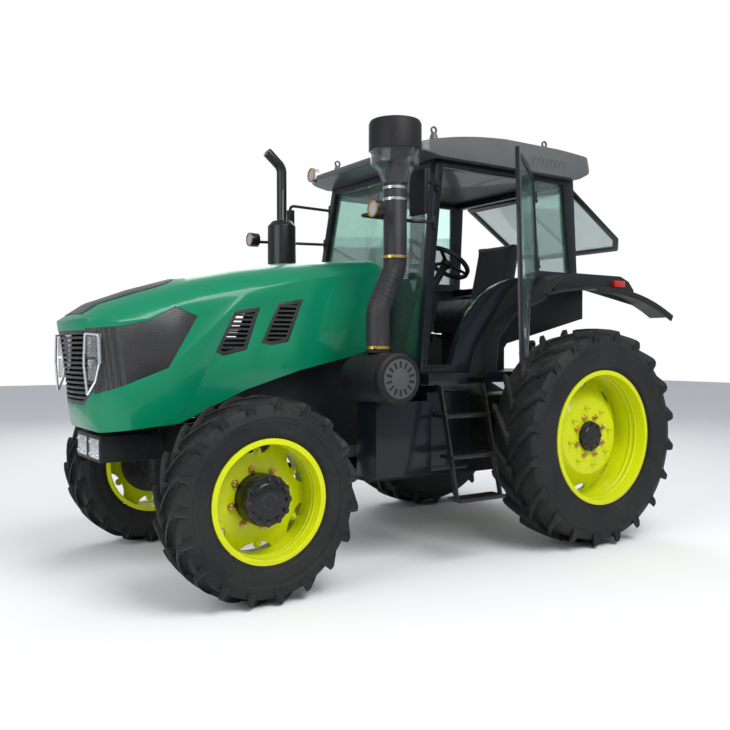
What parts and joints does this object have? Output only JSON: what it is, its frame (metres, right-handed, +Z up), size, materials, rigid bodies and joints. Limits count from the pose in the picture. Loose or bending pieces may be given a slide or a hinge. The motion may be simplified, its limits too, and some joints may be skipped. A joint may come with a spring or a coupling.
{
  "type": "farm tractor with a cab",
  "caption": "Four-wheel-drive farm tractor with lugged tyres, a glazed cab, a front-hinged-up hood, steps and a rear three-point linkage.",
  "frame": {"origin": "on the ground below the middle of the rear axle", "axes": "-Y to the front, +X to the tractor's left, +Z up"},
  "size_m": [2.716, 4.6845, 3.0802],
  "materials": {
    "tyre": "matt",
    "rim_paint": "gloss",
    "black_casting": "satin",
    "frame_paint": "painted",
    "radiator_metal": "matt",
    "hood_paint": "gloss",
    "cab_paint": "gloss",
    "roof_plastic": "satin",
    "glass": "clear",
    "trim_plastic": "grained",
    "fender_plastic": "satin",
    "seat_fabric": "woven",
    "lamp_glass": "clear",
    "red_lens": "clear",
    "bright_steel": "plated",
    "rubber_hose": "satin"
  },
  "bodies": {
    "chassis": {"engine_block": "frame_paint", "transmission": "frame_paint", "front_frame": "frame_paint", "front_axle": "frame_paint", "drive_shaft": "frame_paint", "radiator": "radiator_metal", "cab_frame": "cab_paint", "cab_floor": "cab_paint", "roof": "roof_plastic", "cab_glass": "glass", "dash": "trim_plastic", "seat_base": "trim_plastic", "seat_cushions": "seat_fabric", "fenders": "fender_plastic", "tail_lamps": "red_lens", "work_lamps": "lamp_glass", "lamp_arms": "black_casting", "mirrors": "trim_plastic", "air_filter": "trim_plastic", "intake_pipe": "rubber_hose", "precleaner": "trim_plastic", "exhaust": "black_casting", "fuel_tanks": "cab_paint", "toolbox": "cab_paint", "steps": "black_casting", "drawbar": "frame_paint", "top_link": "frame_paint"},
    "hood": {"hood_shell": "hood_paint", "hood_grille": "trim_plastic", "headlamps": "lamp_glass"},
    "left_door": {"door_left": "cab_paint", "door_left_glass": "glass"},
    "right_door": {"door_right": "cab_paint", "door_right_glass": "glass"},
    "rear_hatch": {"rear_window": "cab_paint", "rear_window_glass": "glass"},
    "left_knuckle": {"knuckle_left": "frame_paint"},
    "right_knuckle": {"knuckle_right": "frame_paint"},
    "steering_rod": {"tie_rod": "bright_steel"},
    "helm": {"steering_wheel": "trim_plastic"},
    "lower_link_pair": {"lower_links": "frame_paint"},
    "lift_arm_pair": {"lift_arms": "frame_paint"},
    "lift_rod_pair": {"lift_rods": "bright_steel"},
    "rear_wheel_left": {"rear_tyre_left": "tyre", "rear_rim_left": "rim_paint", "rear_hub_left": "black_casting"},
    "rear_wheel_right": {"rear_tyre_right": "tyre", "rear_rim_right": "rim_paint", "rear_hub_right": "black_casting"},
    "front_wheel_left": {"front_tyre_left": "tyre", "front_rim_left": "rim_paint", "front_hub_left": "black_casting"},
    "front_wheel_right": {"front_tyre_right": "tyre", "front_rim_right": "rim_paint", "front_hub_right": "black_casting"}
  },
  "joints": [
    {"name": "hood_hinge", "type": "hinge", "parent": "chassis", "child": "hood", "pos_m": [0, -1.5, 2.06], "axis": [-1, 0, 0], "range_deg": [0, 50]},
    {"name": "left_door_hinge", "type": "hinge", "parent": "chassis", "child": "left_door", "pos_m": [0.81394, -0.262, 1.29196], "axis": [-0.0576, 0, 0.9983], "range_deg": [-38, 0]},
    {"name": "right_door_hinge", "type": "hinge", "parent": "chassis", "child": "right_door", "pos_m": [-0.81394, -0.262, 1.29196], "axis": [-0.0576, 0, -0.9983], "range_deg": [0, 38]},
    {"name": "rear_hatch_hinge", "type": "hinge", "parent": "chassis", "child": "rear_hatch", "pos_m": [0, 0.24, 2.781], "axis": [1, 0, 0], "range_deg": [-58, 0]},
    {"name": "left_steer", "type": "hinge", "parent": "chassis", "child": "left_knuckle", "pos_m": [0.7, -2.7, 0.595], "axis": [0, 0, 1], "range_deg": [-40, 40]},
    {"name": "right_steer", "type": "hinge", "parent": "chassis", "child": "right_knuckle", "pos_m": [-0.7, -2.7, 0.595], "axis": [0, 0, 1], "range_deg": [-40, 40]},
    {"name": "steering_rod_pivot", "type": "hinge", "parent": "left_knuckle", "child": "steering_rod", "pos_m": [0.7, -2.46, 0.495], "axis": [0, 0, 1], "range_deg": [-40, 40]},
    {"name": "helm_turn", "type": "hinge", "parent": "chassis", "child": "helm", "pos_m": [0, -0.525, 2.161], "axis": [0, 0.5736, 0.8192], "range_deg": [-480, 480]},
    {"name": "link_lift", "type": "hinge", "parent": "chassis", "child": "lower_link_pair", "pos_m": [0, 0.18, 0.52], "axis": [1, 0, 0], "range_deg": [-12, 30]},
    {"name": "lift_arm_turn", "type": "hinge", "parent": "chassis", "child": "lift_arm_pair", "pos_m": [0, 0.15, 1.13], "axis": [1, 0, 0], "range_deg": [-15, 36]},
    {"name": "lift_rod_swing", "type": "hinge", "parent": "lift_arm_pair", "child": "lift_rod_pair", "pos_m": [0, 0.54467, 0.98635], "axis": [1, 0, 0], "range_deg": [-44, 18]},
    {"name": "rear_left_roll", "type": "hinge", "parent": "chassis", "child": "rear_wheel_left", "pos_m": [1, 0, 0.805], "axis": [1, 0, 0], "continuous": true},
    {"name": "front_left_roll", "type": "hinge", "parent": "left_knuckle", "child": "front_wheel_left", "pos_m": [0.95, -2.7, 0.595], "axis": [1, 0, 0], "continuous": true},
    {"name": "rear_right_roll", "type": "hinge", "parent": "chassis", "child": "rear_wheel_right", "pos_m": [-1, 0, 0.805], "axis": [1, 0, 0], "continuous": true},
    {"name": "front_right_roll", "type": "hinge", "parent": "right_knuckle", "child": "front_wheel_right", "pos_m": [-0.95, -2.7, 0.595], "axis": [1, 0, 0], "continuous": true}
  ],
  "couplings": [
    {"joint": "right_steer", "follows": "left_steer", "ratio": 1},
    {"joint": "steering_rod_pivot", "follows": "left_steer", "ratio": -1},
    {"joint": "helm_turn", "follows": "left_steer", "ratio": 12},
    {"joint": "lift_arm_turn", "follows": "link_lift", "ratio": 1.182},
    {"joint": "lift_rod_swing", "follows": "link_lift", "ratio": -1.4575}
  ]
}
